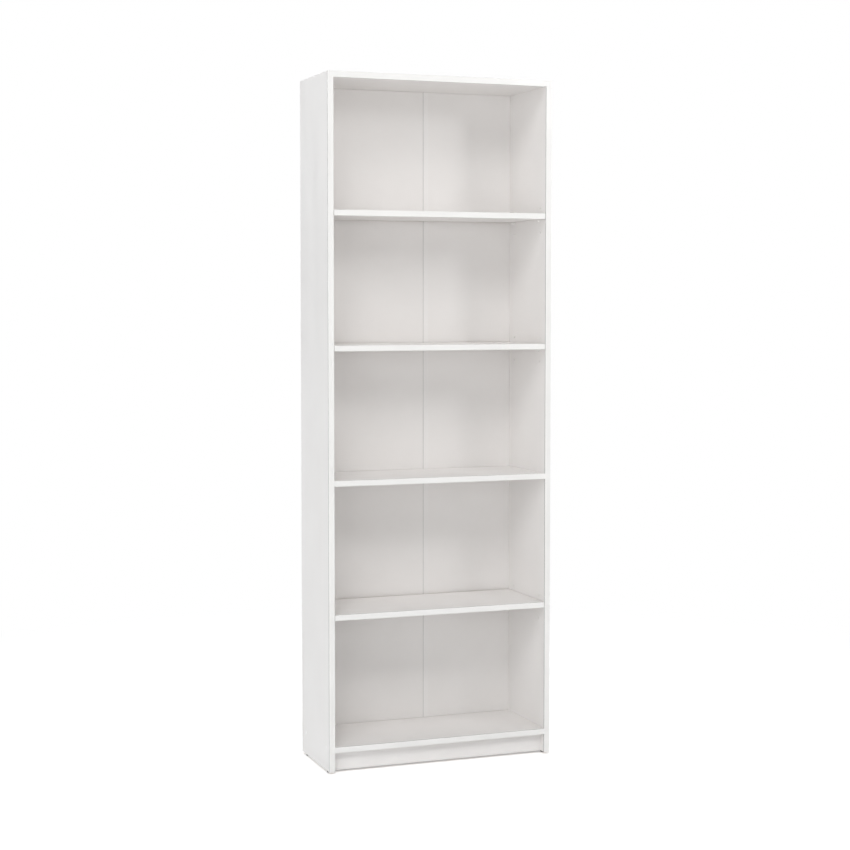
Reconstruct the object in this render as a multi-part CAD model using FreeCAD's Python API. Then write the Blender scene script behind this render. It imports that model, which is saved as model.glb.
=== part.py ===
# Tall open bookcase: two side panels, a top, a bottom panel over a recessed plinth, one shelf fixed
# near mid height, three shelves that rest on pins, and a two-sheet hardboard back nailed on behind.
# Millimetres. +Z is up, the open front faces -Y, and the origin is on the floor at the middle of the
# footprint. Each piece is written to parts/NAME.step.
import FreeCAD, Part
import os

Vector = FreeCAD.Vector

# Case
CASE_WIDTH = 638.0          # over the two side panels
SIDE_HEIGHT = 1845.0
SIDE_DEPTH = 250.0
CASE_BOARD = 16.0           # side and top panels
SHELF_BOARD = 15.0          # bottom panel, shelves and plinth
BAND = 1.0                  # edge band on every front edge
BAND_ROUND = 0.5            # radius on the band's two long front edges
EDGE_BREAK = 0.3            # chamfer on every edge of a board
GLIDE_HEIGHT = 5.0
PLINTH_ZONE = 51.0          # from the foot of the sides to the underside of the bottom panel
PLINTH_SET_BACK = 20.0
PLINTH_LIFT = 1.0           # the plinth stops this far above the foot of the sides

# Shelves, from the bottom up. The top compartment takes the height that is left.
SHELF_NAMES = ("lower_shelf", "fixed_shelf", "middle_shelf", "upper_shelf")
ADJUSTABLE = ("lower_shelf", "middle_shelf", "upper_shelf")
CLEAR_HEIGHTS = (338.0, 341.0, 341.0, 340.0)
SHELF_SIDE_GAP = 1.0        # each end of an adjustable shelf
SHELF_FRONT_GAP = 1.0       # its front edge behind the front edges of the sides
SHELF_REAR_GAP = 5.0        # its rear edge in front of the back sheets

# Shelf pins and their holes
PIN_SET_IN = 37.0           # hole columns from the front and rear edges of the side panels
PIN_PITCH = 32.0
PIN_ROWS = (-1, 0, 1)       # each shelf can go one pitch down or up
PIN_HOLE_RADIUS = 2.5
PIN_HOLE_DEPTH = 10.0
PIN_SHANK_RADIUS = 2.45
PIN_SHANK_LENGTH = 9.0
PIN_HEAD_RADIUS = 3.5
PIN_HEAD_LENGTH = 8.0
PIN_FLAT = 3.0              # height of the head's flat top above the pin's axis
PIN_REST_GAP = 0.1          # between the flat and the shelf

# Back
BACK_SHEET = 3.0
BACK_MARGIN = 2.0           # the sheets stop this far inside the case's outline
STRIP_X = 46.5              # centre of the strip that joins the two sheets
STRIP_WIDTH = 14.0
STRIP_FLANGE = 1.0
STRIP_WEB = 1.2
NAIL_RADIUS = 0.7
NAIL_LENGTH = 20.0
NAIL_HEAD_RADIUS = 1.75
NAIL_HEAD = 0.6
SIDE_NAIL_COUNT = 12
SIDE_NAIL_END_GAP = 40.0
BOARD_NAIL_X = (-260.0, -160.0, -60.0, 110.0, 190.0, 270.0)

# Case fixings, measured from the front edge of the side panels
FIXING_FRONT = 26.0
FIXING_REAR = 215.0
DOWEL_MIDDLE = 120.0
FIT = 0.05                  # clearance on the radius of every driven or turned piece
BOLT_HOLE_RADIUS = 2.5
BOLT_HOLE_DEPTH = 11.0
BOLT_BORE_RADIUS = 3.6
CAM_DISTANCE = 34.0         # cam centre from the end of its board
CAM_RADIUS = 7.4
CAM_HEIGHT = 12.3
CAM_SUNK = 0.2
SCREW_RADIUS = 3.45
SCREW_HEAD_RADIUS = 4.9
SCREW_HEAD = 3.5
SCREW_SUNK = 0.7
SCREW_LENGTH = 50.0
CAP_RADIUS = 6.5
CAP_HEIGHT = 1.0
DOWEL_RADIUS = 3.95
DOWEL_IN_SIDE = 10.0
DOWEL_IN_BOARD = 20.0
DOWEL_END_GAP = 1.0
PLINTH_DOWEL_X = 200.0

# Glides and wall brackets
GLIDE_RADIUS = 7.0
GLIDE_SPIKE_RADIUS = 1.0
GLIDE_SPIKE_LENGTH = 12.0
BRACKET_X = 220.0
BRACKET_WIDTH = 20.0
BRACKET_SHEET = 1.5
BRACKET_LEG = 38.0
BRACKET_RISE = 22.0
BRACKET_BEND = 1.0          # inside radius
BRACKET_SCREW_Y = (12.0, 30.0)   # from the wall plane
BRACKET_SCREW_RADIUS = 1.7
BRACKET_SCREW_LENGTH = 13.0
WALL_HOLE_RADIUS = 2.5
WALL_HOLE_RISE = 14.0

# Worked-out places
Y_WALL = (SIDE_DEPTH + BACK_SHEET + STRIP_FLANGE) / 2
Y_FRONT = -Y_WALL
Y_BACK = Y_FRONT + SIDE_DEPTH               # rear edges of the sides, front face of the sheets
Y_BOARD_REAR = Y_BACK - STRIP_FLANGE        # the joining strip passes behind the boards
X_OUTER = CASE_WIDTH / 2
X_INNER = X_OUTER - CASE_BOARD
Z_FOOT = GLIDE_HEIGHT
Z_TOP = Z_FOOT + SIDE_HEIGHT
Z_BOTTOM_PANEL = Z_FOOT + PLINTH_ZONE
SIDES = (("left", -1), ("right", 1))
FIXING_Y = (Y_FRONT + FIXING_FRONT, Y_FRONT + FIXING_REAR)
PIN_Y = (("front", Y_FRONT + PIN_SET_IN), ("rear", Y_BACK - PIN_SET_IN))
DOWEL_Y = Y_FRONT + DOWEL_MIDDLE
DOWN = Vector(0, 0, -1)
UP = Vector(0, 0, 1)


def shelf_undersides():
    """Height of each shelf's underside, stacked up from the bottom panel."""
    undersides = {}
    floor = Z_BOTTOM_PANEL + SHELF_BOARD
    for name, clear in zip(SHELF_NAMES, CLEAR_HEIGHTS):
        undersides[name] = floor + clear
        floor = undersides[name] + SHELF_BOARD
    return undersides


UNDERSIDES = shelf_undersides()
# Boards that run between the sides, each with the height of its middle plane.
BOARD_MIDDLES = {
    "bottom_panel": Z_BOTTOM_PANEL + SHELF_BOARD / 2,
    "fixed_shelf": UNDERSIDES["fixed_shelf"] + SHELF_BOARD / 2,
    "top_panel": Z_TOP - CASE_BOARD / 2,
}
# Boards drawn together by cams, with the face that the cams are let into.
CAM_FACES = {
    "fixed_shelf": (UNDERSIDES["fixed_shelf"], DOWN),
    "top_panel": (Z_TOP, UP),
}


def block(x_range, y_range, z_range):
    """Box between two corners given as (low, high) pairs."""
    low = Vector(x_range[0], y_range[0], z_range[0])
    size = Vector(x_range[1], y_range[1], z_range[1]) - low
    return Part.makeBox(size.x, size.y, size.z, low)


def rod(radius, start, direction, length):
    """Plain cylinder from a start point along a direction."""
    return Part.makeCylinder(radius, length, start, direction)


def turned(profile, start, direction):
    """Solid of revolution: profile lists (distance along the axis, radius) pairs."""
    outline = [Vector(0, 0, profile[0][0])]
    outline += [Vector(radius, 0, distance) for distance, radius in profile]
    outline += [Vector(0, 0, profile[-1][0]), outline[0]]
    solid = Part.Face(Part.makePolygon(outline)).revolve(Vector(0, 0, 0), UP, 360)
    solid.Placement = FreeCAD.Placement(start, FreeCAD.Rotation(UP, direction))
    return solid


def threaded(crest, root, length, pitch):
    """Profile of a thread drawn as plain ridges along the given length."""
    profile = []
    for turn in range(int(length / pitch)):
        start = turn * pitch
        profile += [(start, root), (start + pitch * 0.4, crest), (start + pitch * 0.6, crest)]
    return profile + [(length, root)]


def shifted(profile, distance):
    """The same profile further along its axis."""
    return [(along + distance, radius) for along, radius in profile]


def across(side):
    """Unit vector from a side panel towards the middle of the case."""
    return Vector(-side, 0, 0)


def end_points(z_middle, y_stations):
    """Points on the sides' inner faces where a board's ends are fixed, with their side."""
    return [(side, Vector(side * X_INNER, y, z_middle)) for _, side in SIDES for y in y_stations]


def dowel_places():
    """Start, direction and the two depths of each dowel, counted from the joint it crosses."""
    places = []
    joints = [(z_middle, DOWEL_Y) for z_middle in BOARD_MIDDLES.values()]
    plinth_y = Y_FRONT + PLINTH_SET_BACK + SHELF_BOARD / 2
    joints.append((Z_FOOT + PLINTH_ZONE / 2, plinth_y))
    for z_middle, y in joints:
        for side, point in end_points(z_middle, (y,)):
            places.append((point, across(side), DOWEL_IN_SIDE, DOWEL_IN_BOARD))
    for x in (-PLINTH_DOWEL_X, PLINTH_DOWEL_X):
        places.append((Vector(x, plinth_y, Z_BOTTOM_PANEL), DOWN, DOWEL_IN_SIDE, DOWEL_IN_BOARD))
    return places


def cam_places():
    """Side, joint point and cam face of each cam fitting."""
    places = []
    for name, (face_z, face_normal) in CAM_FACES.items():
        for side, point in end_points(BOARD_MIDDLES[name], FIXING_Y):
            places.append((side, point, face_z, face_normal))
    return places


def cam_centre(side, point, face_z):
    """Centre of a cam's visible face, on its board's surface."""
    return Vector(point.x - side * CAM_DISTANCE, point.y, face_z)


def screw_places():
    """Outer-face points of the screws that hold the bottom panel, with their side."""
    points = end_points(BOARD_MIDDLES["bottom_panel"], FIXING_Y)
    return [(side, Vector(side * X_OUTER, point.y, point.z)) for side, point in points]


def glide_places():
    """Name and top point of each glide, under the foot of the sides."""
    places = []
    for side_name, side in SIDES:
        for row, y in zip(("front", "rear"), FIXING_Y):
            name = f"glide_{row}_{side_name}"
            places.append((name, Vector(side * (X_OUTER - CASE_BOARD / 2), y, Z_FOOT)))
    return places


def pin_places(shelf):
    """Name ending, side and hole mouth of a shelf's four pins."""
    z = UNDERSIDES[shelf] - PIN_REST_GAP - PIN_FLAT
    places = []
    for side_name, side in SIDES:
        for row, y in PIN_Y:
            places.append((f"{row}_{side_name}", side, Vector(side * X_INNER, y, z)))
    return places


def nail_places():
    """Head centres of the back's nails, on the rear face of the sheets."""
    y = Y_BACK + BACK_SHEET
    low = Z_BOTTOM_PANEL + SIDE_NAIL_END_GAP
    step = (Z_TOP - SIDE_NAIL_END_GAP - low) / (SIDE_NAIL_COUNT - 1)
    x_side = X_OUTER - CASE_BOARD / 2
    heights = [low + step * index for index in range(SIDE_NAIL_COUNT)]
    places = [Vector(side * x_side, y, z) for _, side in SIDES for z in heights]
    places += [Vector(x, y, z) for z in BOARD_MIDDLES.values() for x in BOARD_NAIL_X]
    return places


def bracket_screw_places():
    """Seats of the bracket screws, on the upper face of each bracket's flat leg."""
    z = Z_TOP + BRACKET_SHEET
    places = []
    for _, side in SIDES:
        places += [Vector(side * BRACKET_X, Y_WALL - y, z) for y in BRACKET_SCREW_Y]
    return places


def all_bores():
    """Every drilled hole and pocket, as solids where they lie in the case."""
    bores = []
    for shelf in ADJUSTABLE:
        for _, side, mouth in pin_places(shelf):
            for row in PIN_ROWS:
                start = mouth + Vector(0, 0, row * PIN_PITCH)
                bores.append(rod(PIN_HOLE_RADIUS, start, -across(side), PIN_HOLE_DEPTH))
    for start, direction, first, second in dowel_places():
        begin = start - direction * (first + DOWEL_END_GAP)
        length = first + second + 2 * DOWEL_END_GAP
        bores.append(rod(DOWEL_RADIUS + FIT, begin, direction, length))
    for side, point, face_z, normal in cam_places():
        centre = cam_centre(side, point, face_z)
        bores.append(rod(BOLT_HOLE_RADIUS, point, -across(side), BOLT_HOLE_DEPTH))
        bores.append(rod(BOLT_BORE_RADIUS, point, across(side), CAM_DISTANCE))
        bores.append(rod(CAM_RADIUS + FIT * 2, centre, -normal, CAM_HEIGHT + CAM_SUNK))
    for side, point in screw_places():
        bores.append(rod(SCREW_RADIUS + FIT, point, across(side), SCREW_LENGTH + DOWEL_END_GAP))
        bores.append(rod(SCREW_HEAD_RADIUS + FIT * 2, point, across(side), SCREW_HEAD + SCREW_SUNK))
    for _, top in glide_places():
        bores.append(rod(GLIDE_SPIKE_RADIUS + FIT, top, UP, GLIDE_SPIKE_LENGTH + DOWEL_END_GAP))
    for head in nail_places():
        inward = Vector(0, -1, 0)
        bores.append(rod(NAIL_RADIUS + FIT, head, inward, NAIL_LENGTH + FIT))
        bores.append(rod(NAIL_HEAD_RADIUS + FIT, head, inward, NAIL_HEAD))
    for seat in bracket_screw_places():
        depth = BRACKET_SCREW_LENGTH + DOWEL_END_GAP
        bores.append(rod(BRACKET_SCREW_RADIUS + FIT, seat, DOWN, depth))
    return bores


BORES = all_bores()


def drilled(board):
    """The board with every bore that reaches it cut out."""
    reaching = [bore for bore in BORES if board.BoundBox.intersect(bore.BoundBox)]
    return board.cut(reaching)


def save(name, solids):
    """Write one piece, or one group of like pieces, to its own file."""
    shape = solids[0] if len(solids) == 1 else Part.makeCompound(solids)
    if not shape.isValid():
        raise ValueError(f"{name} is not a valid shape")
    shape.exportStep(f"parts/{name}.step")


def edge_band(x_range, y_front, z_range):
    """Band on a front edge, with its long front edges rounded."""
    band = block(x_range, (y_front, y_front + BAND), z_range)
    longest = max(edge.Length for edge in band.Edges)
    front = [edge for edge in band.Edges if edge.BoundBox.YMax < y_front + BAND / 2]
    long_front = [edge for edge in front if edge.Length > longest - BAND]
    return band.makeFillet(BAND_ROUND, long_front)


def save_board(name, x_range, y_range, z_range):
    """A drilled board with its edges broken, which leaves a fine groove where boards meet flush."""
    plain = block(x_range, y_range, z_range)
    save(name, [drilled(plain.makeChamfer(EDGE_BREAK, plain.Edges))])


def save_banded_board(name, x_range, y_range, z_range):
    """A board and the band that covers its front edge, as two pieces."""
    y_front, y_rear = y_range
    save_board(name, x_range, (y_front + BAND, y_rear), z_range)
    band_name = name.replace("_panel", "") + "_edge_band"
    save(band_name, [edge_band(x_range, y_front, z_range)])


def build_case_boards():
    """Sides, top, bottom and fixed shelf with their edge bands, and the plinth."""
    for side_name, side in SIDES:
        x_range = sorted((side * X_INNER, side * X_OUTER))
        save_banded_board(f"{side_name}_side_panel", x_range, (Y_FRONT, Y_BACK), (Z_FOOT, Z_TOP))
    between = (-X_INNER, X_INNER)
    depth = (Y_FRONT, Y_BOARD_REAR)
    for name, z_middle in BOARD_MIDDLES.items():
        thickness = CASE_BOARD if name == "top_panel" else SHELF_BOARD
        z_range = (z_middle - thickness / 2, z_middle + thickness / 2)
        save_banded_board(name, between, depth, z_range)
    y_plinth = Y_FRONT + PLINTH_SET_BACK
    y_range = (y_plinth, y_plinth + SHELF_BOARD)
    save_board("plinth_board", between, y_range, (Z_FOOT + PLINTH_LIFT, Z_BOTTOM_PANEL))


def build_adjustable_shelves():
    """Three loose shelves and the four stepped pins under each."""
    x_half = X_INNER - SHELF_SIDE_GAP
    y_range = (Y_FRONT + SHELF_FRONT_GAP, Y_BACK - SHELF_REAR_GAP)
    for shelf in ADJUSTABLE:
        z_range = (UNDERSIDES[shelf], UNDERSIDES[shelf] + SHELF_BOARD)
        save_banded_board(shelf, (-x_half, x_half), y_range, z_range)
        for place, side, mouth in pin_places(shelf):
            save(f"{shelf}_pin_{place}", [shelf_pin(side, mouth)])


def shelf_pin(side, mouth):
    """Stepped pin: shank in the side panel, wider head under the shelf with a flat on top."""
    chamfer = 0.6
    tip = -PIN_SHANK_LENGTH
    profile = [
        (tip, PIN_SHANK_RADIUS - chamfer),
        (tip + chamfer, PIN_SHANK_RADIUS),
        (0, PIN_SHANK_RADIUS),
        (0, PIN_HEAD_RADIUS),
        (PIN_HEAD_LENGTH - chamfer, PIN_HEAD_RADIUS),
        (PIN_HEAD_LENGTH, PIN_HEAD_RADIUS - chamfer),
    ]
    pin = turned(profile, mouth, across(side))
    x_range = sorted((mouth.x, mouth.x - side * PIN_HEAD_LENGTH))
    y_range = (mouth.y - PIN_HEAD_RADIUS, mouth.y + PIN_HEAD_RADIUS)
    above_flat = block(x_range, y_range, (mouth.z + PIN_FLAT, mouth.z + PIN_HEAD_RADIUS))
    return pin.cut(above_flat)


def build_back():
    """Two hardboard sheets, the H-section strip between them and the nails."""
    y_range = (Y_BACK, Y_BACK + BACK_SHEET)
    z_range = (Z_BOTTOM_PANEL, Z_TOP - BACK_MARGIN)
    x_edge = X_OUTER - BACK_MARGIN
    web = (STRIP_X - STRIP_WEB / 2, STRIP_X + STRIP_WEB / 2)
    save("back_panel_left", [drilled(block((-x_edge, web[0]), y_range, z_range))])
    save("back_panel_right", [drilled(block((web[1], x_edge), y_range, z_range))])
    flange_x = (STRIP_X - STRIP_WIDTH / 2, STRIP_X + STRIP_WIDTH / 2)
    front_flange = block(flange_x, (Y_BACK - STRIP_FLANGE, Y_BACK), z_range)
    rear_flange = block(flange_x, (y_range[1], y_range[1] + STRIP_FLANGE), z_range)
    strip = front_flange.fuse([block(web, y_range, z_range), rear_flange])
    save("back_joining_strip", [strip.removeSplitter()])
    profile = [
        (0, NAIL_HEAD_RADIUS),
        (NAIL_HEAD, NAIL_HEAD_RADIUS),
        (NAIL_HEAD, NAIL_RADIUS),
        (NAIL_LENGTH - 2, NAIL_RADIUS),
        (NAIL_LENGTH, NAIL_RADIUS / 4),
    ]
    inward = Vector(0, -1, 0)
    save("back_nails", [turned(profile, head, inward) for head in nail_places()])


def cam_disc(side, point, face_z, normal):
    """Cam with a slot for the bolt's neck, a chamber for its head and a cross recess."""
    centre = cam_centre(side, point, face_z) - normal * CAM_SUNK
    disc = rod(CAM_RADIUS, centre, -normal, CAM_HEIGHT)
    neck_half = 2.0
    head_half = 3.2
    rim = centre.x + side * CAM_RADIUS
    slot_x = sorted((centre.x, rim))
    chamber_x = sorted((centre.x - side * 1.5, centre.x + side * 4.0))
    slot = block(slot_x, (point.y - neck_half, point.y + neck_half),
                 (point.z - neck_half, point.z + neck_half))
    chamber = block(chamber_x, (point.y - head_half, point.y + head_half),
                    (point.z - head_half, point.z + head_half))
    arm = 3.5
    groove = 0.8
    recess_z = sorted((centre.z, centre.z - normal.z * 2.5))
    recess = [
        block((centre.x - arm, centre.x + arm), (centre.y - groove, centre.y + groove), recess_z),
        block((centre.x - groove, centre.x + groove), (centre.y - arm, centre.y + arm), recess_z),
    ]
    return disc.cut([slot, chamber] + recess)


def cam_bolt(side, point):
    """Bolt threaded into the side panel, its head in the cam."""
    thread_length = 10.0
    profile = shifted(threaded(BOLT_HOLE_RADIUS - FIT, 2.0, thread_length, 1.6), -thread_length)
    profile += [(0, 3.4), (26, 3.4), (26.2, 1.6), (31, 1.6), (31, 2.8), (33, 2.8), (34, 1.8)]
    return turned(profile, point, across(side))


def panel_screw(side, point):
    """Screw through the side into the end of the bottom panel, with a hexagon socket."""
    start = point + across(side) * SCREW_SUNK
    shank_end = CASE_BOARD - SCREW_SUNK
    thread_length = SCREW_LENGTH - CASE_BOARD - 2
    profile = [(0, SCREW_HEAD_RADIUS), (SCREW_HEAD, SCREW_HEAD_RADIUS), (SCREW_HEAD, SCREW_RADIUS)]
    profile += [(shank_end, SCREW_RADIUS)]
    profile += shifted(threaded(SCREW_RADIUS, 2.4, thread_length, 3.0), shank_end)
    screw = turned(profile + [(shank_end + thread_length + 1.5, 0.5)], start, across(side))
    corner = Vector(0, 0, 2.3)
    turn = FreeCAD.Rotation(Vector(1, 0, 0), 60)
    corners = [start + corner]
    for _ in range(6):
        corner = turn.multVec(corner)
        corners.append(start + corner)
    socket = Part.Face(Part.makePolygon(corners)).extrude(across(side) * 3.0)
    return screw.cut(socket)


def cover_cap(side, point):
    """Domed cap over a screw, held by a short peg in the screw's socket."""
    profile = [
        (-CAP_HEIGHT, CAP_RADIUS - 1.4),
        (-CAP_HEIGHT * 0.8, CAP_RADIUS - 0.6),
        (-CAP_HEIGHT * 0.4, CAP_RADIUS),
        (0, CAP_RADIUS),
        (0, 1.8),
        (SCREW_SUNK + 2.5, 1.6),
    ]
    return turned(profile, point, across(side))


def dowel(start, direction, first, second):
    """Plain dowel with chamfered ends, across a joint."""
    chamfer = 0.8
    profile = [
        (-first, DOWEL_RADIUS - chamfer),
        (chamfer - first, DOWEL_RADIUS),
        (second - chamfer, DOWEL_RADIUS),
        (second, DOWEL_RADIUS - chamfer),
    ]
    return turned(profile, start, direction)


def build_fixings():
    """Cams, bolts, dowels, screws and caps, each kind as one group."""
    save("cam_discs", [cam_disc(*place) for place in cam_places()])
    save("cam_bolts", [cam_bolt(side, point) for side, point, _, _ in cam_places()])
    save("wood_dowels", [dowel(*place) for place in dowel_places()])
    save("bottom_panel_screws", [panel_screw(*place) for place in screw_places()])
    save("screw_cover_caps", [cover_cap(*place) for place in screw_places()])


def build_glides():
    """Nail-in glides under the four corners."""
    profile = [
        (-GLIDE_SPIKE_LENGTH, GLIDE_SPIKE_RADIUS / 4),
        (2 - GLIDE_SPIKE_LENGTH, GLIDE_SPIKE_RADIUS),
        (0, GLIDE_SPIKE_RADIUS),
        (0, GLIDE_RADIUS),
        (GLIDE_HEIGHT - 1.2, GLIDE_RADIUS),
        (GLIDE_HEIGHT, GLIDE_RADIUS - 1.2),
    ]
    for name, top in glide_places():
        save(name, [turned(profile, top, DOWN)])


def wall_bracket(side):
    """Angle bracket on the top panel, its upright leg against the wall."""
    x_range = (side * BRACKET_X - BRACKET_WIDTH / 2, side * BRACKET_X + BRACKET_WIDTH / 2)
    flat = block(x_range, (Y_WALL - BRACKET_LEG, Y_WALL), (Z_TOP, Z_TOP + BRACKET_SHEET))
    upright = block(x_range, (Y_WALL - BRACKET_SHEET, Y_WALL), (Z_TOP, Z_TOP + BRACKET_RISE))
    angle = flat.fuse([upright]).removeSplitter()
    inner = edges_along_x(angle, Y_WALL - BRACKET_SHEET, Z_TOP + BRACKET_SHEET)
    angle = angle.makeFillet(BRACKET_BEND, inner)
    outer = edges_along_x(angle, Y_WALL, Z_TOP)
    angle = angle.makeFillet(BRACKET_BEND + BRACKET_SHEET, outer)
    wall_hole = Vector(side * BRACKET_X, Y_WALL, Z_TOP + WALL_HOLE_RISE)
    holes = [rod(WALL_HOLE_RADIUS, wall_hole, Vector(0, -1, 0), BRACKET_SHEET)]
    for seat in bracket_screw_places():
        holes.append(rod(BRACKET_SCREW_RADIUS + 0.4, seat, DOWN, BRACKET_SHEET))
    return angle.cut(holes)


def edges_along_x(shape, y, z):
    """The shape's edges that run along X through the given place."""
    found = []
    for edge in shape.Edges:
        box = edge.BoundBox
        near = abs(box.YMin - y) + abs(box.YMax - y) + abs(box.ZMin - z) + abs(box.ZMax - z)
        if near < FIT:
            found.append(edge)
    return found


def build_wall_brackets():
    """The two wall brackets and the screws that hold them to the top panel."""
    for side_name, side in SIDES:
        save(f"wall_bracket_{side_name}", [wall_bracket(side)])
    profile = [(-2.0, 1.6), (-1.4, 3.0), (-0.6, 3.5), (0, 3.5), (0, BRACKET_SCREW_RADIUS)]
    profile += [(1.5, BRACKET_SCREW_RADIUS)]
    profile += shifted(threaded(BRACKET_SCREW_RADIUS, 1.2, 9.6, 1.6), BRACKET_SHEET)
    profile += [(BRACKET_SCREW_LENGTH, 0.3)]
    save("bracket_screws", [turned(profile, seat, DOWN) for seat in bracket_screw_places()])


os.makedirs("parts", exist_ok=True)
build_case_boards()
build_adjustable_shelves()
build_back()
build_fixings()
build_glides()
build_wall_brackets()
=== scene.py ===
"""Looks of a tall, narrow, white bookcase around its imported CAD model, on a white studio floor.

Lengths are in metres, in the part's own frame: Z is up, the floor is Z = 0 and the front faces -Y.
"""

import math

import bpy
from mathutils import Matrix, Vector


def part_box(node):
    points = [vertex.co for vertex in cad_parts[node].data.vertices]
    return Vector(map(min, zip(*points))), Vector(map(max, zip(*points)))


MM = 0.001
X, Y, Z = 0, 1, 2

# Camera: how it stands in front of the bookcase, on its left-hand side.
CAMERA_PLACE = Vector((-1.732, -4.6144, 1.2513))
CAMERA_YAW = 20.559  # degrees, from straight ahead (+Y) towards +X
CAMERA_PITCH = 3.119  # degrees, downwards
CAMERA_LENS = 76.117  # mm
CAMERA_SENSOR = 36.0  # mm
CAMERA_SHIFT = -0.03

# Thin layers of the boards.
FOIL_THICKNESS = 0.15 * MM
RAW_RIM = 1.0 * MM  # a side panel shows raw chips only this near its outline; its holes are sealed
PAINT_THICKNESS = 0.2 * MM
GLUE_AND_SHADE_ON_BOARD = 1.3 * MM  # width of the dark line on the board's side of a banded edge's joint: a glue line widened with painted seam shade
GLUE_AND_SHADE_ON_BAND = 0.5 * MM  # and on the edge band's side
STRIP_SHADE_REACH = 0.55 * MM  # reach of the painted shadow to each side of the joining strip's left lip

# Base colours, linear.
WHITE_FOIL = (0.855, 0.835, 0.82, 1.0)
WHITE_FOIL_DULL = (0.828, 0.806, 0.79, 1.0)
WHITE_EDGING = (0.865, 0.857, 0.84, 1.0)
WHITE_EDGING_DULL = (0.835, 0.827, 0.808, 1.0)
WHITE_PAINT = (0.858, 0.837, 0.822, 1.0)
WHITE_PAINT_DULL = (0.83, 0.808, 0.792, 1.0)
WHITE_PLASTIC = (0.872, 0.857, 0.844, 1.0)
WHITE_PLASTIC_DULL = (0.842, 0.826, 0.812, 1.0)
# Dark glue colour, also used as painted shade: it widens the glue lines at banded edges and darkens the line
# beside the joining strip's lip.
GLUE_AND_SHADE = (0.05, 0.044, 0.036, 1.0)
CHIP_DARK = (0.22, 0.13, 0.065, 1.0)
CHIP_MID = (0.45, 0.31, 0.18, 1.0)
CHIP_LIGHT = (0.66, 0.52, 0.35, 1.0)
FIBRE_DARK = (0.17, 0.10, 0.055, 1.0)
FIBRE_LIGHT = (0.34, 0.21, 0.115, 1.0)
ZINC = (0.62, 0.63, 0.65, 1.0)
ZINC_DARK = (0.46, 0.47, 0.49, 1.0)
STEEL = (0.50, 0.49, 0.47, 1.0)
STEEL_DARK = (0.30, 0.29, 0.28, 1.0)
BEECH_LIGHT = (0.66, 0.47, 0.29, 1.0)
BEECH_DARK = (0.49, 0.31, 0.17, 1.0)
DARK_PLASTIC = (0.035, 0.034, 0.033, 1.0)
DARK_PLASTIC_WORN = (0.075, 0.072, 0.068, 1.0)

# Roughness, from a surface's smoothest places to its roughest.
FOIL_ROUGHNESS = (0.34, 0.46)
CHIP_ROUGHNESS = (0.75, 0.95)
EDGING_ROUGHNESS = (0.26, 0.38)
GLUE_ROUGHNESS = 0.7
PAINT_ROUGHNESS = (0.42, 0.55)
FIBRE_ROUGHNESS = (0.62, 0.82)
WHITE_PLASTIC_ROUGHNESS = (0.3, 0.42)
DARK_PLASTIC_ROUGHNESS = (0.4, 0.6)
ZINC_ROUGHNESS = (0.24, 0.46)
STEEL_ROUGHNESS = (0.28, 0.5)
BEECH_ROUGHNESS = (0.5, 0.68)
FLOOR_ROUGHNESS = 0.9
FLOOR_GLOSS = 0.1  # specular level

# Pattern sizes: bumps, cells or chips in a metre.
PEARL_SCALE = 900.0
FOIL_CLOUD_SCALE = 5.0
FOIL_WIPE_SCALE = 16.0
CHIP_SCALE = 420.0
CHIP_WOBBLE_SCALE = 300.0
CHIP_GRIT_SCALE = 1900.0
SCRAPE_SCALE = 400.0  # across the length of an edge band
SCRAPE_SCALE_ALONG = 9.0
EDGING_CLOUD_SCALE = 7.0
FIBRE_THREAD_SCALE = 700.0
FIBRE_BLOTCH_SCALE = 30.0
FLOW_SCALE = 260.0
WHITE_PLASTIC_GRAIN_SCALE = 1500.0
DARK_PLASTIC_GRAIN_SCALE = 1200.0
ZINC_CRYSTAL_SCALE = 700.0
STEEL_CRYSTAL_SCALE = 1200.0
SPOTS_PER_CRYSTAL = 0.6  # dull spots for each crystal along a metre
SCRATCH_SCALE = 2600.0
BEECH_GRAIN_SCALE = 900.0
BEECH_FLECK_SCALE = 1500.0
FLOOR_SPECK_SCALE = 60.0

# Pattern stretch: an axis with a small number has long marks.
WIPED_ALONG_Z = (1.0, 1.0, 0.25)
THREADS_ALONG_Z = (1.0, 1.0, 0.35)
FLOW_ALONG_Z = (1.0, 1.0, 0.04)
SCRATCHED_ALONG_Y = (1.0, 0.06, 1.0)
BEECH_GRAIN_STRETCH = (0.12, 1.0, 0.12)
BEECH_FLECK_STRETCH = (0.35, 1.0, 0.35)

# Relief, from a surface's lowest places to its highest.
BOARD_RELIEF = 0.3 * MM
HARDBOARD_RELIEF = 0.15 * MM
EDGING_RELIEF = 0.02 * MM
PLASTIC_RELIEF = 0.02 * MM
METAL_RELIEF = 0.01 * MM
BEECH_RELIEF = 0.05 * MM
FOIL_SHARE = 0.05  # the foil's part of BOARD_RELIEF
PAINT_SHARE = 0.1  # the paint's part of HARDBOARD_RELIEF
CHIP_BEND = 2.0 * MM  # how far the outline of a chip wanders

# Shares of the second pattern where two are mixed.
PEARL_IN_FOIL = 0.3
GRIT_IN_CHIPS = 0.4
BLOTCH_IN_FIBRE = 0.35
GRAIN_IN_FLOW = 0.4
SCRATCHES_IN_WEAR = 0.5
FLECK_IN_BEECH = 0.3
CRYSTAL_IN_ZINC = 0.5
CRYSTAL_IN_STEEL = 0.2

# Ranges. A band is the part of a pattern that is spread over the whole of what it drives.
UNIT = (0.0, 1.0)
FALLING = (1.0, 0.0)
WIDE_BAND = (0.3, 0.7)
MIDDLE_BAND = (0.35, 0.65)
FOIL_BAND = (0.38, 0.62)
WIPED_BAND = (0.35, 0.7)
WEAR_BAND = (0.2, 0.8)
CHIP_GAP_BAND = (0.2, 0.7)
CHIP_MID_PLACE = 0.45  # where CHIP_MID lies between CHIP_DARK and CHIP_LIGHT
GRIT_SHADE = (0.0, 0.45)  # how much the grit darkens a chip

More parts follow.
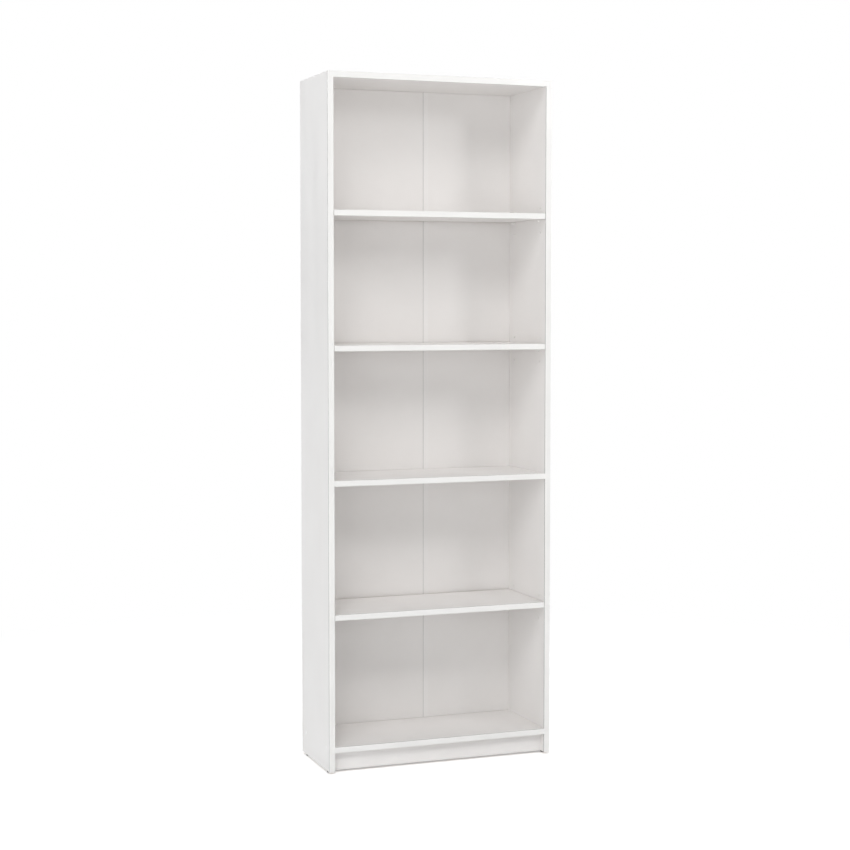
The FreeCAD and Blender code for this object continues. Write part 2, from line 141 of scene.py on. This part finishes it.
# Studio.
FLOOR_RADIUS = 14.0
FLOOR_CORNERS = 64
FLOOR_SHADE_RADIUS = (0.9, 2.4)  # the lit floor turns into the plain backdrop between these
FLOOR_WHITE = (0.93, 0.93, 0.93, 1.0)
BACKDROP_WHITE = (1.0, 1.0, 1.0, 1.0)
BACKDROP_LIGHT = 0.72  # what the far floor throws on the bookcase
FLOOR_LIFT = 0.35  # added to the near floor as it is seen, so that only its shadows show
AMBIENT = 0.1
PLAIN_LIGHT = (1.0, 1.0, 1.0)
COOL_LIGHT = (0.94, 0.975, 1.0)
# Soft boxes: degrees from the front towards +X, distance from the bookcase, height, size, watts,
# the height of the point each one faces, and its colour.
LAMPS = {
    "key_lamp": (-30.0, 5.0, 5.5, 3.0, 185.0, 0.5, PLAIN_LIGHT),
    "fill_lamp": (-12.0, 3.8, 1.4, 1.0, 13.0, 1.2, PLAIN_LIGHT),
    "low_lamp": (-35.0, 4.2, 0.4, 1.2, 12.0, 1.0, PLAIN_LIGHT),
    "small_lamp": (35.0, 3.0, 2.5, 0.6, 16.5, 1.2, PLAIN_LIGHT),
    "right_lamp": (55.0, 2.7, 1.9, 1.3, 11.0, 1.45, PLAIN_LIGHT),
    "side_lamp": (-60.0, 4.2, 1.4, 2.0, 32.0, 1.0, COOL_LIGHT),
    "side_lamp_left": (-100.0, 3.0, 2.6, 1.8, 36.0, 1.4, COOL_LIGHT),
    "side_lamp_right": (100.0, 3.2, 2.4, 1.8, 28.0, 1.2, COOL_LIGHT),
    "rear_lamp": (168.0, 3.6, 2.4, 1.2, 60.0, 1.0, PLAIN_LIGHT),
}


# Node helpers.


def feed(tree, socket, value):
    """Links an output to socket, or sets the socket's constant."""
    if isinstance(value, bpy.types.NodeSocket):
        tree.links.new(value, socket)
    else:
        socket.default_value = value


def node(tree, kind, inputs=None, **settings):
    """Adds a node, sets its properties, and feeds its inputs, named or numbered."""
    made = tree.nodes.new(kind)
    for name, value in settings.items():
        setattr(made, name, value)
    for key, value in (inputs or {}).items():
        feed(tree, made.inputs[key], value)
    return made


def object_place(tree):
    """The point on the surface, in metres, in the piece's own frame."""
    return node(tree, "ShaderNodeTexCoord").outputs["Object"]


def stretched(tree, place, scale):
    """place with each axis multiplied by scale, so that a pattern is longer where scale is small."""
    return node(tree, "ShaderNodeVectorMath", {0: place, 1: scale}, operation="MULTIPLY").outputs[0]


def noise(tree, place, scale, detail=2.0, roughness=0.5):
    """Smooth noise with about scale bumps in a metre."""
    inputs = {"Vector": place, "Scale": scale, "Detail": detail, "Roughness": roughness}
    return node(tree, "ShaderNodeTexNoise", inputs).outputs["Fac"]


def cells(tree, place, scale):
    """Voronoi cells, about scale of them in a metre, as the node that makes them."""
    return node(tree, "ShaderNodeTexVoronoi", {"Vector": place, "Scale": scale})


def remap(tree, value, old, new, smooth=False):
    """value taken from the range old to the range new, and held inside it."""
    inputs = {"Value": value, "From Min": old[0], "From Max": old[1], "To Min": new[0], "To Max": new[1]}
    kind = "SMOOTHSTEP" if smooth else "LINEAR"
    return node(tree, "ShaderNodeMapRange", inputs, interpolation_type=kind).outputs["Result"]


def mix_colour(tree, factor, first, second):
    """first where factor is 0 and second where it is 1. Sockets 6, 7 and 2 are the node's colours."""
    return node(tree, "ShaderNodeMix", {0: factor, 6: first, 7: second}, data_type="RGBA").outputs[2]


def mix_value(tree, factor, first, second):
    """first where factor is 0 and second where it is 1. Sockets 2, 3 and 0 are the node's numbers."""
    return node(tree, "ShaderNodeMix", {0: factor, 2: first, 3: second}, data_type="FLOAT").outputs[0]


def calculate(tree, operation, first, second=0.0, third=0.0):
    """A sum, product or comparison. COMPARE is 1 where first is within third of second."""
    return node(tree, "ShaderNodeMath", {0: first, 1: second, 2: third}, operation=operation).outputs[0]


def axis_part(tree, place, axis):
    """One coordinate of place."""
    return node(tree, "ShaderNodeSeparateXYZ", {0: place}).outputs[axis]


def bump(tree, height, distance):
    """A normal for relief that is distance high where height goes from 0 to 1."""
    return node(tree, "ShaderNodeBump", {"Height": height, "Distance": distance}).outputs["Normal"]


def new_material(name):
    """A new node material, as the material, its node tree and its shader."""
    material = bpy.data.materials.new(name)
    material.use_nodes = True
    return material, material.node_tree, material.node_tree.nodes["Principled BSDF"]


def finish_material(tree, shader, colour, roughness, normal):
    """Feeds the shader what its patterns make."""
    feed(tree, shader.inputs["Base Color"], colour)
    feed(tree, shader.inputs["Roughness"], roughness)
    feed(tree, shader.inputs["Normal"], normal)


# Surfaces: each returns (colour, roughness, relief height).


def foil_surface(tree, place, light, dull, roughness):
    """Melamine foil or paint: a fine pearl grain, broad and faint changes of tone, wiped patches."""
    pearl = noise(tree, place, PEARL_SCALE, detail=3.0, roughness=0.6)
    cloud = noise(tree, place, FOIL_CLOUD_SCALE, detail=3.0)
    wiped = noise(tree, stretched(tree, place, WIPED_ALONG_Z), FOIL_WIPE_SCALE, detail=4.0, roughness=0.65)
    tone = mix_value(tree, PEARL_IN_FOIL, cloud, pearl)
    colour = mix_colour(tree, remap(tree, tone, FOIL_BAND, UNIT), light, dull)
    return colour, remap(tree, wiped, WIPED_BAND, roughness), pearl


def chip_surface(tree, place):
    """Raw chipboard: flat chips of mixed wood pressed together, with gaps between them."""
    wobble_inputs = {"Vector": place, "Scale": CHIP_WOBBLE_SCALE}
    wobble = node(tree, "ShaderNodeTexNoise", wobble_inputs).outputs["Color"]
    shift = stretched(tree, wobble, (CHIP_BEND, CHIP_BEND, CHIP_BEND))
    bent = node(tree, "ShaderNodeVectorMath", {0: place, 1: shift}, operation="ADD").outputs[0]
    chips = cells(tree, bent, CHIP_SCALE)
    chip_tone = axis_part(tree, chips.outputs["Color"], X)
    grit = noise(tree, place, CHIP_GRIT_SCALE, detail=3.0, roughness=0.7)
    ramp = node(tree, "ShaderNodeValToRGB", {"Fac": chip_tone})
    ramp.color_ramp.elements[0].color = CHIP_DARK
    ramp.color_ramp.elements[1].color = CHIP_LIGHT
    ramp.color_ramp.elements.new(CHIP_MID_PLACE).color = CHIP_MID
    shade = remap(tree, grit, WIDE_BAND, GRIT_SHADE)
    colour = mix_colour(tree, shade, ramp.outputs["Color"], CHIP_DARK)
    solid = remap(tree, chips.outputs["Distance"], CHIP_GAP_BAND, FALLING)
    height = mix_value(tree, GRIT_IN_CHIPS, solid, grit)
    return colour, remap(tree, grit, WIDE_BAND, CHIP_ROUGHNESS), height


# Materials.


def thickness_axis(low, high):
    """The axis along which a box is thinnest."""
    return min((X, Y, Z), key=lambda axis: high[axis] - low[axis])


def length_axis(low, high):
    """The axis along which a box is longest."""
    return max((X, Y, Z), key=lambda axis: high[axis] - low[axis])


def raw_rim(tree, place, low, high):
    """1 along a side panel's lower, front and rear edges, and 0 on its upper end and inside."""
    along, up = axis_part(tree, place, Y), axis_part(tree, place, Z)
    centre, reach = (low[Y] + high[Y]) / 2, (high[Y] - low[Y]) / 2 - RAW_RIM
    inside = calculate(tree, "COMPARE", along, centre, reach)
    above = calculate(tree, "GREATER_THAN", up, low[Z] + RAW_RIM)
    sealed = calculate(tree, "MULTIPLY", inside, above)
    below_foil = calculate(tree, "LESS_THAN", up, high[Z] - FOIL_THICKNESS)
    return calculate(tree, "MULTIPLY", calculate(tree, "SUBTRACT", 1.0, sealed), below_foil)


def board_material(board, low, high, is_side, banded):
    """White-faced chipboard: foil on both faces, raw chips on the cut edges and in drilled holes.

    A side panel is also foiled on its upper end, and its pin holes are sealed white. A banded
    board shows a dark line along its front edge: a glue line widened with painted seam shade.
    """
    material, tree, shader = new_material("white_board_" + board)
    place = object_place(tree)
    axis = thickness_axis(low, high)
    middle, half = (low[axis] + high[axis]) / 2, (high[axis] - low[axis]) / 2
    depth = calculate(tree, "ABSOLUTE", calculate(tree, "SUBTRACT", axis_part(tree, place, axis), middle))
    core = calculate(tree, "LESS_THAN", depth, half - FOIL_THICKNESS)
    if is_side:
        core = calculate(tree, "MULTIPLY", core, raw_rim(tree, place, low, high))
    foil = foil_surface(tree, place, WHITE_FOIL, WHITE_FOIL_DULL, FOIL_ROUGHNESS)
    foil_colour, foil_rough, pearl = foil
    chip_colour, chip_rough, chip_height = chip_surface(tree, place)
    colour = mix_colour(tree, core, foil_colour, chip_colour)
    if banded:
        # Painted shade: the glue line is widened to stand for the shadow in the seam behind the edge band.
        glue_and_shade_line = calculate(tree, "LESS_THAN", axis_part(tree, place, Y), low[Y] + GLUE_AND_SHADE_ON_BOARD)
        colour = mix_colour(tree, glue_and_shade_line, colour, GLUE_AND_SHADE)
    rough = mix_value(tree, core, foil_rough, chip_rough)
    relief = mix_value(tree, core, calculate(tree, "MULTIPLY", pearl, FOIL_SHARE), chip_height)
    finish_material(tree, shader, colour, rough, bump(tree, relief, BOARD_RELIEF))
    return material


def edging_material(band, low, high):
    """Plastic edging: scraped smooth along its length, with a dark line where it meets the board: a glue
    line widened with painted seam shade.
    """
    material, tree, shader = new_material("white_edging_" + band)
    place = object_place(tree)
    # The stretch holds the pattern's scale, so the noise itself has a scale of 1.
    squeeze = [SCRAPE_SCALE, SCRAPE_SCALE, SCRAPE_SCALE]
    squeeze[length_axis(low, high)] = SCRAPE_SCALE_ALONG
    scrape = noise(tree, stretched(tree, place, squeeze), scale=1.0, detail=3.0, roughness=0.6)
    cloud = noise(tree, place, EDGING_CLOUD_SCALE, detail=3.0)
    tone = remap(tree, cloud, MIDDLE_BAND, UNIT)
    colour = mix_colour(tree, tone, WHITE_EDGING, WHITE_EDGING_DULL)
    # Painted shade: the band's glue line is widened to stand for the shadow in the seam.
    glue_and_shade_line = calculate(tree, "GREATER_THAN", axis_part(tree, place, Y), high[Y] - GLUE_AND_SHADE_ON_BAND)
    colour = mix_colour(tree, glue_and_shade_line, colour, GLUE_AND_SHADE)
    rough = mix_value(tree, glue_and_shade_line, remap(tree, scrape, WIDE_BAND, EDGING_ROUGHNESS), GLUE_ROUGHNESS)
    finish_material(tree, shader, colour, rough, bump(tree, scrape, EDGING_RELIEF))
    return material


def hardboard_material(front_y, lip_x):
    """Thin hardboard: painted white on the side that faces the shelves, bare brown fibre behind.

    lip_x is where the joining strip's left lip ends; beside it a narrow dark line of painted shadow stands
    for the gap under the lip.
    """
    material, tree, shader = new_material("white_hardboard_back")
    place = object_place(tree)
    bare = calculate(tree, "GREATER_THAN", axis_part(tree, place, Y), front_y + PAINT_THICKNESS)
    paint = foil_surface(tree, place, WHITE_PAINT, WHITE_PAINT_DULL, PAINT_ROUGHNESS)
    paint_colour, paint_rough, pearl = paint
    grained = stretched(tree, place, THREADS_ALONG_Z)
    threads = noise(tree, grained, FIBRE_THREAD_SCALE, detail=4.0, roughness=0.7)
    blotch = noise(tree, place, FIBRE_BLOTCH_SCALE, detail=5.0, roughness=0.65)
    tone = remap(tree, mix_value(tree, BLOTCH_IN_FIBRE, threads, blotch), WIDE_BAND, UNIT)
    fibre_colour = mix_colour(tree, tone, FIBRE_DARK, FIBRE_LIGHT)
    # Painted shadow: a dark line on the white paint along the joining strip's left lip.
    in_strip_shade = calculate(tree, "COMPARE", axis_part(tree, place, X), lip_x, STRIP_SHADE_REACH)
    paint_with_strip_shade = mix_colour(tree, in_strip_shade, paint_colour, GLUE_AND_SHADE)
    colour = mix_colour(tree, bare, paint_with_strip_shade, fibre_colour)
    rough = mix_value(tree, bare, paint_rough, remap(tree, blotch, WIDE_BAND, FIBRE_ROUGHNESS))
    relief = mix_value(tree, bare, calculate(tree, "MULTIPLY", pearl, PAINT_SHARE), threads)
    finish_material(tree, shader, colour, rough, bump(tree, relief, HARDBOARD_RELIEF))
    return material


def plastic_material(name, light, dull, roughness, grain_scale):
    """Moulded or extruded plastic with flow marks along Z."""
    material, tree, shader = new_material(name)
    place = object_place(tree)
    flow = noise(tree, stretched(tree, place, FLOW_ALONG_Z), FLOW_SCALE, detail=3.0, roughness=0.6)
    grain = noise(tree, place, grain_scale)
    aged = remap(tree, mix_value(tree, GRAIN_IN_FLOW, flow, grain), MIDDLE_BAND, UNIT)
    colour = mix_colour(tree, aged, light, dull)
    rough = remap(tree, flow, WIDE_BAND, roughness)
    finish_material(tree, shader, colour, rough, bump(tree, grain, PLASTIC_RELIEF))
    return material


def metal_material(name, light, dark, roughness, crystal_scale, crystal_share):
    """Plated metal: crystals of slightly different tone, fine scratches, and dull spots."""
    material, tree, shader = new_material(name)
    place = object_place(tree)
    crystal = axis_part(tree, cells(tree, place, crystal_scale).outputs["Color"], X)
    spots = noise(tree, place, crystal_scale * SPOTS_PER_CRYSTAL, detail=5.0, roughness=0.7)
    scratches = noise(tree, stretched(tree, place, SCRATCHED_ALONG_Y), SCRATCH_SCALE)
    tone = mix_value(tree, crystal_share, remap(tree, spots, MIDDLE_BAND, UNIT), crystal)
    colour = mix_colour(tree, tone, light, dark)
    rough = remap(tree, mix_value(tree, SCRATCHES_IN_WEAR, tone, scratches), WEAR_BAND, roughness)
    finish_material(tree, shader, colour, rough, bump(tree, scratches, METAL_RELIEF))
    shader.inputs["Metallic"].default_value = 1.0
    return material


def beech_material():
    """Turned beech: fine grain along X and Z alike, with short dark flecks."""
    material, tree, shader = new_material("beech")
    place = object_place(tree)
    drawn_out = stretched(tree, place, BEECH_GRAIN_STRETCH)
    grain = noise(tree, drawn_out, BEECH_GRAIN_SCALE, detail=4.0, roughness=0.65)
    fleck = cells(tree, stretched(tree, place, BEECH_FLECK_STRETCH), BEECH_FLECK_SCALE).outputs["Distance"]
    figure = mix_value(tree, FLECK_IN_BEECH, remap(tree, grain, WIDE_BAND, UNIT), fleck)
    colour = mix_colour(tree, figure, BEECH_LIGHT, BEECH_DARK)
    rough = remap(tree, grain, WIDE_BAND, BEECH_ROUGHNESS)
    finish_material(tree, shader, colour, rough, bump(tree, grain, BEECH_RELIEF))
    return material


def plain_materials():
    """The materials that need nothing from the piece they go on, by the record's slot."""
    white = (WHITE_PLASTIC, WHITE_PLASTIC_DULL, WHITE_PLASTIC_ROUGHNESS, WHITE_PLASTIC_GRAIN_SCALE)
    dark = (DARK_PLASTIC, DARK_PLASTIC_WORN, DARK_PLASTIC_ROUGHNESS, DARK_PLASTIC_GRAIN_SCALE)
    zinc = (ZINC, ZINC_DARK, ZINC_ROUGHNESS, ZINC_CRYSTAL_SCALE, CRYSTAL_IN_ZINC)
    steel = (STEEL, STEEL_DARK, STEEL_ROUGHNESS, STEEL_CRYSTAL_SCALE, CRYSTAL_IN_STEEL)
    return {
        "white_plastic": plastic_material("white_plastic_parts", *white),
        "dark_plastic": plastic_material("dark_plastic_glide", *dark),
        "zinc": metal_material("zinc_plated", *zinc),
        "steel_nail": metal_material("steel_wire", *steel),
        "beech": beech_material(),
    }


def dress(nodes, names, material):
    """Puts material on every slot of the named CAD nodes."""
    for name in names:
        for slot in nodes[name].material_slots:
            slot.material = material


def slot_of(nodes, name):
    """The record's material slot that a CAD node was packed with."""
    return nodes[name].material_slots[0].material.name


def dress_all(nodes):
    """Gives every CAD node its material, by the slot that it was packed with."""
    by_slot = {}
    for name in sorted(nodes):
        by_slot.setdefault(slot_of(nodes, name), []).append(name)
    for name in by_slot["white_board"]:
        low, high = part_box(name)
        is_side = name.endswith("side_panel")
        banded = name.replace("_panel", "") + "_edge_band" in nodes
        dress(nodes, [name], board_material(name, low, high, is_side, banded))
    for name in by_slot["white_edging"]:
        low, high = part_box(name)
        dress(nodes, [name], edging_material(name, low, high))
    sheet_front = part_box("back_panel_left")[0][Y]
    strip_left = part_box("back_joining_strip")[0][X]
    dress(nodes, by_slot["white_hardboard"], hardboard_material(sheet_front, strip_left))
    for slot, material in plain_materials().items():
        dress(nodes, by_slot[slot], material)


# Studio: floor, backdrop, lamps and camera.


def seen_by_camera(tree, unseen, seen):
    """The value seen where the camera looks, and the value unseen for the light that is thrown on."""
    to_camera = node(tree, "ShaderNodeLightPath").outputs["Is Camera Ray"]
    return mix_value(tree, to_camera, unseen, seen)


def floor_material():
    """White floor that catches the soft shadow near the bookcase and melts into the backdrop further out."""
    material, tree, shader = new_material("studio_floor")
    place = object_place(tree)
    speck = noise(tree, place, FLOOR_SPECK_SCALE, detail=3.0)
    feed(tree, shader.inputs["Base Color"], mix_colour(tree, speck, FLOOR_WHITE, BACKDROP_WHITE))
    shader.inputs["Roughness"].default_value = FLOOR_ROUGHNESS
    shader.inputs["Specular IOR Level"].default_value = FLOOR_GLOSS
    shader.inputs["Emission Color"].default_value = BACKDROP_WHITE
    feed(tree, shader.inputs["Emission Strength"], seen_by_camera(tree, 0.0, FLOOR_LIFT))
    strength = seen_by_camera(tree, BACKDROP_LIGHT, 1.0)
    glow = node(tree, "ShaderNodeEmission", {"Color": BACKDROP_WHITE, "Strength": strength})
    distance = node(tree, "ShaderNodeVectorMath", {0: place}, operation="LENGTH").outputs["Value"]
    away = remap(tree, distance, FLOOR_SHADE_RADIUS, UNIT, smooth=True)
    blend = node(tree, "ShaderNodeMixShader", {0: away, 1: shader.outputs[0], 2: glow.outputs[0]})
    feed(tree, tree.nodes["Material Output"].inputs["Surface"], blend.outputs[0])
    return material


def make_floor():
    """A round floor, whose rim is lost in the white backdrop."""
    mesh = bpy.data.meshes.new("studio_floor")
    ring = []
    for corner in range(FLOOR_CORNERS):
        angle = 2 * math.pi * corner / FLOOR_CORNERS
        ring.append((FLOOR_RADIUS * math.cos(angle), FLOOR_RADIUS * math.sin(angle), 0.0))
    mesh.from_pydata(ring, [], [tuple(range(FLOOR_CORNERS))])
    mesh.materials.append(floor_material())
    floor = bpy.data.objects.new("studio_floor", mesh)
    bpy.context.scene.collection.objects.link(floor)


def make_world():
    """Even light from all round. What the camera sees behind the bookcase is plain white."""
    world = bpy.data.worlds.new("studio")
    bpy.context.scene.world = world
    world.use_nodes = True
    background = world.node_tree.nodes["Background"]
    background.inputs["Color"].default_value = BACKDROP_WHITE
    feed(world.node_tree, background.inputs["Strength"], seen_by_camera(world.node_tree, AMBIENT, 1.0))


def make_lamps():
    """Soft boxes round the bookcase."""
    for name, (azimuth, distance, height, size, watts, aim_height, colour) in LAMPS.items():
        angle = math.radians(azimuth)
        place = Vector((distance * math.sin(angle), -distance * math.cos(angle), height))
        data = bpy.data.lights.new(name, "AREA")
        data.shape = "SQUARE"
        data.size = size
        data.energy = watts
        data.color = colour
        lamp = bpy.data.objects.new(name, data)
        lamp.location = place
        lamp.rotation_euler = (Vector((0.0, 0.0, aim_height)) - place).to_track_quat("-Z", "Y").to_euler()
        lamp.visible_camera = False
        bpy.context.scene.collection.objects.link(lamp)


def make_camera():
    """The scene's camera, at the place and angle given at the top."""
    data = bpy.data.cameras.new("camera")
    data.lens = CAMERA_LENS
    data.sensor_width = CAMERA_SENSOR
    data.shift_y = CAMERA_SHIFT
    camera = bpy.data.objects.new("camera", data)
    camera.location = CAMERA_PLACE
    camera.rotation_euler = (math.radians(90.0 - CAMERA_PITCH), 0.0, math.radians(-CAMERA_YAW))
    bpy.context.scene.collection.objects.link(camera)
    bpy.context.scene.camera = camera


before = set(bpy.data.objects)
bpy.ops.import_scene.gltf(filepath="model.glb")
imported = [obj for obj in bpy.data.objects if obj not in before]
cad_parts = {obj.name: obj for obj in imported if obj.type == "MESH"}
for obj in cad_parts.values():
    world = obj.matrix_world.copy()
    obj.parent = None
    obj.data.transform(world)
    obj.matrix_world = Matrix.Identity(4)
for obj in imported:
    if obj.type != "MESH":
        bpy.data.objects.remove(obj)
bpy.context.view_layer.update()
bpy.context.scene.view_settings.view_transform = "Standard"
make_camera()
make_world()
make_lamps()
make_floor()
dress_all(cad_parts)
